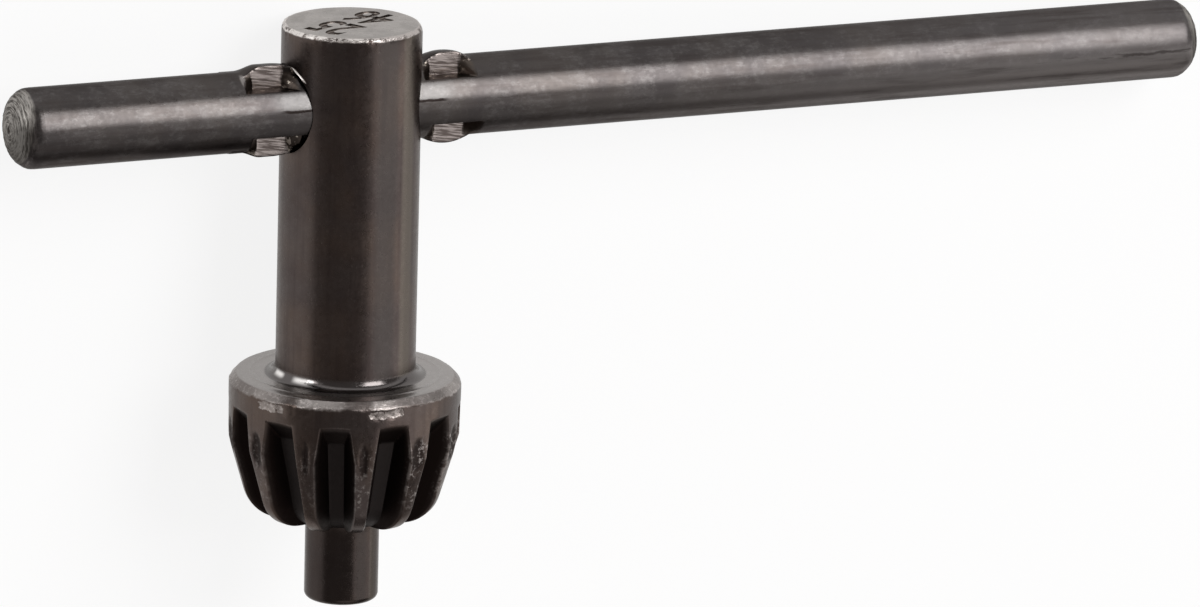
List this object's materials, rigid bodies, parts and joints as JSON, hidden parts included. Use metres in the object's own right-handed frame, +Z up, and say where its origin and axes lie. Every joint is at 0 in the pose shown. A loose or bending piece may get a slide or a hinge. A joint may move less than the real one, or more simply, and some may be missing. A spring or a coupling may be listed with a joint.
{
  "type": "drill chuck key",
  "caption": "Drill chuck key: a stepped steel shank with a milled bevel pinion and a plain pilot, and a staked cross bar as its handle.",
  "frame": {"origin": "on the ground under the middle of the key's box, with the key lying on its back", "axes": "+X along the bar towards its long end, +Y up the shank away from the pinion, +Z up"},
  "size_m": [0.1104, 0.0514, 0.0203],
  "materials": {
    "blackened_steel": "blackened, satin, worn bright on edges",
    "worn_steel": "blackened, rubbed lighter"
  },
  "bodies": {
    "root": {"key_body": "blackened_steel", "cross_bar": "worn_steel"}
  },
  "joints": []
}
